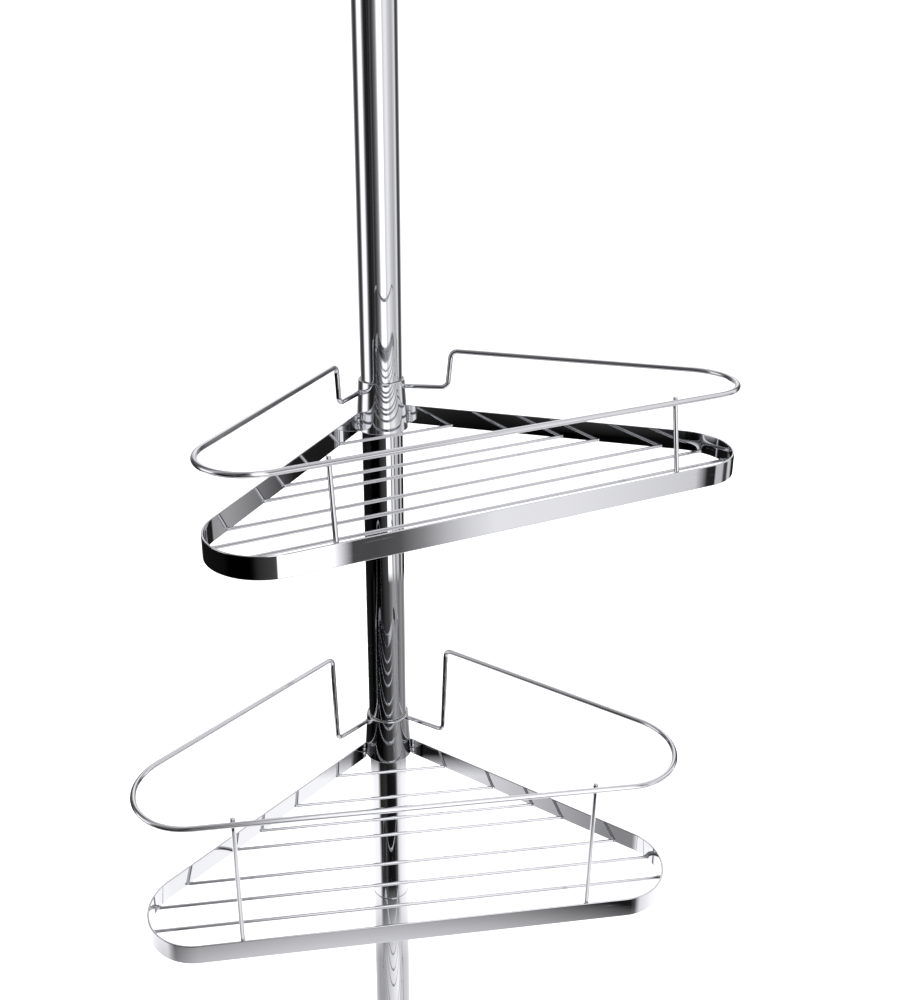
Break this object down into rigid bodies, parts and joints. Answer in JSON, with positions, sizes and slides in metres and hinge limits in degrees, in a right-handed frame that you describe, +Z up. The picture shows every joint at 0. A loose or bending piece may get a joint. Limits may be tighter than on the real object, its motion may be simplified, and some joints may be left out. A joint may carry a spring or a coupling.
{
  "type": "corner shower caddy",
  "caption": "Corner shower caddy: chrome telescoping tension pole held between floor and ceiling, with triangular wire shelves that slide and swivel on it.",
  "frame": {"origin": "centre of the floor pad's flat underside, on the pole's axis", "axes": "+Z up the pole; -Y is the way the middle and lower shelves face; +X is to their right, seen from the front"},
  "size_m": [0.3325, 0.2254, 1.2576],
  "materials": {
    "chrome_tube": "mirror-bright chrome plate on steel tube",
    "chrome_strip": "mirror-bright chrome plate on flat steel strip",
    "chrome_wire": "bright chrome plate on drawn steel wire",
    "zinc_steel": "bright zinc plate",
    "grey_plastic": "moulded, fine satin texture",
    "white_nylon": "moulded, natural nylon",
    "grey_rubber": "moulded, matte"
  },
  "bodies": {
    "pole": {"floor_pad": "grey_rubber", "floor_foot": "grey_plastic", "lower_tube": "chrome_tube", "upper_tube": "chrome_tube", "tube_coupler": "zinc_steel", "grip_collet": "white_nylon"},
    "collar": {"lock_collar": "grey_plastic"},
    "extension": {"inner_tube": "chrome_tube", "spring_seat": "white_nylon", "tension_spring": "zinc_steel", "end_bush": "white_nylon"},
    "plunger": {"plunger_rod": "zinc_steel", "ceiling_foot": "grey_plastic", "ceiling_pad": "grey_rubber"},
    "lower_grip": {"lower_wedge_right": "white_nylon", "lower_wedge_left": "white_nylon"},
    "lower_shelf": {"lower_sleeve": "chrome_tube", "lower_rim": "chrome_strip", "lower_rail": "chrome_wire", "lower_post_right": "chrome_wire", "lower_post_left": "chrome_wire", "lower_wire_1": "chrome_wire", "lower_wire_2": "chrome_wire", "lower_wire_3": "chrome_wire", "lower_wire_4": "chrome_wire", "lower_wire_5": "chrome_wire", "lower_wire_6": "chrome_wire", "lower_wire_7": "chrome_wire"},
    "middle_grip": {"middle_wedge_right": "white_nylon", "middle_wedge_left": "white_nylon"},
    "middle_shelf": {"middle_sleeve": "chrome_tube", "middle_rim": "chrome_strip", "middle_rail": "chrome_wire", "middle_post_right": "chrome_wire", "middle_post_left": "chrome_wire", "middle_wire_1": "chrome_wire", "middle_wire_2": "chrome_wire", "middle_wire_3": "chrome_wire", "middle_wire_4": "chrome_wire", "middle_wire_5": "chrome_wire", "middle_wire_6": "chrome_wire", "middle_wire_7": "chrome_wire"},
    "upper_grip": {"upper_wedge_right": "white_nylon", "upper_wedge_left": "white_nylon"},
    "upper_shelf": {"upper_sleeve": "chrome_tube", "upper_rim": "chrome_strip", "upper_rail": "chrome_wire", "upper_post_right": "chrome_wire", "upper_post_left": "chrome_wire", "upper_wire_1": "chrome_wire", "upper_wire_2": "chrome_wire", "upper_wire_3": "chrome_wire", "upper_wire_4": "chrome_wire", "upper_wire_5": "chrome_wire", "upper_wire_6": "chrome_wire", "upper_wire_7": "chrome_wire"}
  },
  "joints": [
    {"name": "collar_twist", "type": "hinge", "parent": "pole", "child": "collar", "pos_m": [0, 0, 1.03], "axis": [0, 0, 1], "range_deg": [-90, 0]},
    {"name": "pole_telescope", "type": "slide", "parent": "pole", "child": "extension", "axis": [0, 0, 1], "range_m": [-0.12, 0.3]},
    {"name": "spring_plunge", "type": "slide", "parent": "extension", "child": "plunger", "axis": [0, 0, 1], "range_m": [-0.025, 0], "stiffness_N_per_m": 2000, "springref_m": 0.005, "deforming": ["tension_spring"]},
    {"name": "lower_height", "type": "slide", "parent": "pole", "child": "lower_grip", "axis": [0, 0, 1], "range_m": [-0.18, 0.05]},
    {"name": "lower_swivel", "type": "hinge", "parent": "lower_grip", "child": "lower_shelf", "pos_m": [0, 0, 0.26], "axis": [0, 0, 1], "continuous": true},
    {"name": "middle_height", "type": "slide", "parent": "pole", "child": "middle_grip", "axis": [0, 0, 1], "range_m": [-0.12, 0.06]},
    {"name": "middle_swivel", "type": "hinge", "parent": "middle_grip", "child": "middle_shelf", "pos_m": [0, 0, 0.56], "axis": [0, 0, 1], "continuous": true},
    {"name": "upper_height", "type": "slide", "parent": "pole", "child": "upper_grip", "axis": [0, 0, 1], "range_m": [-0.07, 0.2]},
    {"name": "upper_swivel", "type": "hinge", "parent": "upper_grip", "child": "upper_shelf", "pos_m": [0, 0, 0.795], "axis": [0, 0, 1], "continuous": true}
  ]
}
